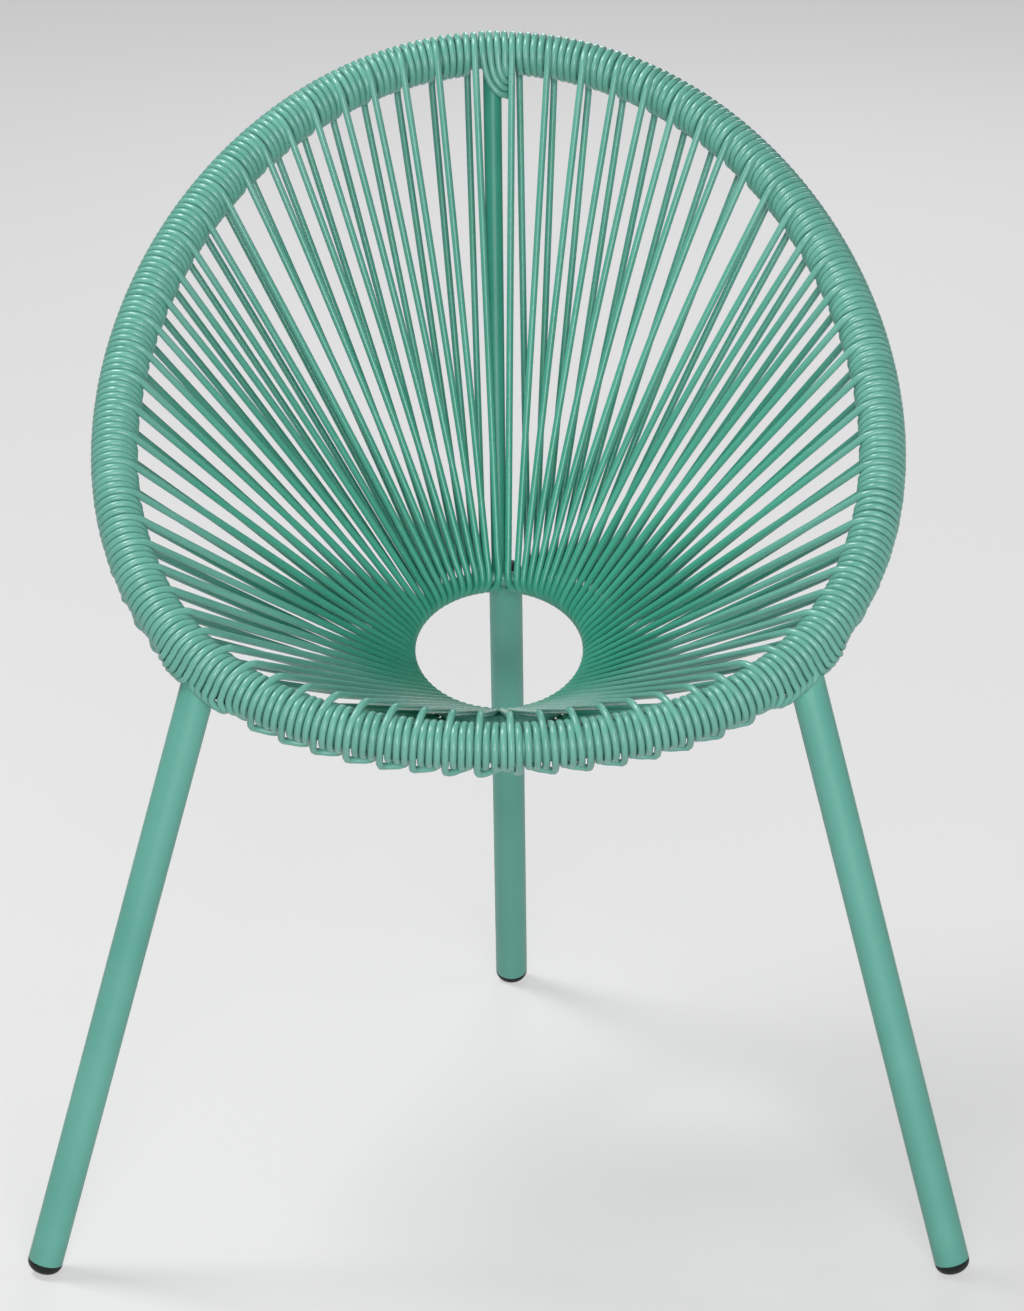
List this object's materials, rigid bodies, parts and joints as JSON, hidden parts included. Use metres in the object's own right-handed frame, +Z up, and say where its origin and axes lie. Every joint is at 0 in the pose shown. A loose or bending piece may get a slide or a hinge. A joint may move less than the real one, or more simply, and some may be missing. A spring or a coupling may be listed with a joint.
{
  "type": "acapulco chair",
  "caption": "Low round patio chair: an egg-shaped hoop wound with plastic cord that stretches as a bowl to a hub ring, on splayed tube legs.",
  "frame": {"origin": "on the floor, at the centre of the chair's footprint as its bounding box gives it", "axes": "+Z up, -Y the way the sitter faces, +X on the right in the front view"},
  "size_m": [0.7245, 0.5804, 0.8515],
  "materials": {
    "frame_coat": "satin turquoise-green powder coat on steel",
    "cord": "glossy extruded plastic cord, light turquoise-green",
    "plug": "moulded black plastic, slightly worn"
  },
  "bodies": {
    "root": {"seat_rim_tube": "frame_coat", "hub_ring": "frame_coat", "back_spine_bar": "frame_coat", "front_leg_left": "frame_coat", "front_leg_right": "frame_coat", "rear_leg": "frame_coat", "foot_plug_left": "plug", "foot_plug_right": "plug", "foot_plug_rear": "plug", "rear_leg_top_plug": "plug", "seat_cord_left_1": "cord", "seat_cord_left_2": "cord", "seat_cord_left_3": "cord", "seat_cord_left_4": "cord", "seat_cord_left_5": "cord", "seat_cord_left_6": "cord", "seat_cord_left_7": "cord", "seat_cord_left_8": "cord", "seat_cord_right_1": "cord", "seat_cord_right_2": "cord", "seat_cord_right_3": "cord", "seat_cord_right_4": "cord", "seat_cord_right_5": "cord", "seat_cord_right_6": "cord", "seat_cord_right_7": "cord", "seat_cord_right_8": "cord"}
  },
  "joints": []
}
